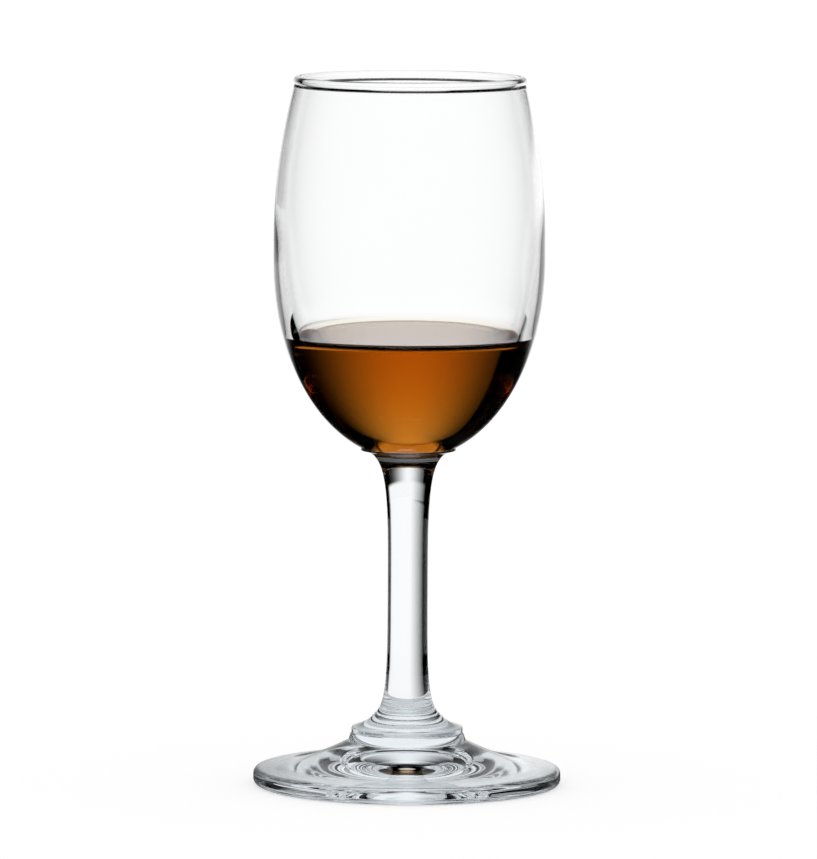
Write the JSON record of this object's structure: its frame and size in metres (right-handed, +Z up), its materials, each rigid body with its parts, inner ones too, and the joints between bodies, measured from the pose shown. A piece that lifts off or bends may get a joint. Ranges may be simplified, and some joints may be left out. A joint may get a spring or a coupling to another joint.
{
  "type": "liqueur glass",
  "caption": "Stemmed liqueur glass with a beaded tulip bowl, waisted stem, stepped collar and hollow round foot, partly filled with amber liqueur.",
  "frame": {"origin": "centre of the foot's resting ring, on the table", "axes": "+Z up along the glass's axis of turning; the glass is the same from every side, so X and Y are free"},
  "size_m": [0.049, 0.049, 0.113],
  "materials": {
    "clear_glass": "polished clear soda-lime glass",
    "amber_liqueur": null
  },
  "bodies": {
    "root": {"bowl": "clear_glass", "stem": "clear_glass", "collar": "clear_glass", "foot": "clear_glass", "liqueur": "amber_liqueur"}
  },
  "joints": []
}
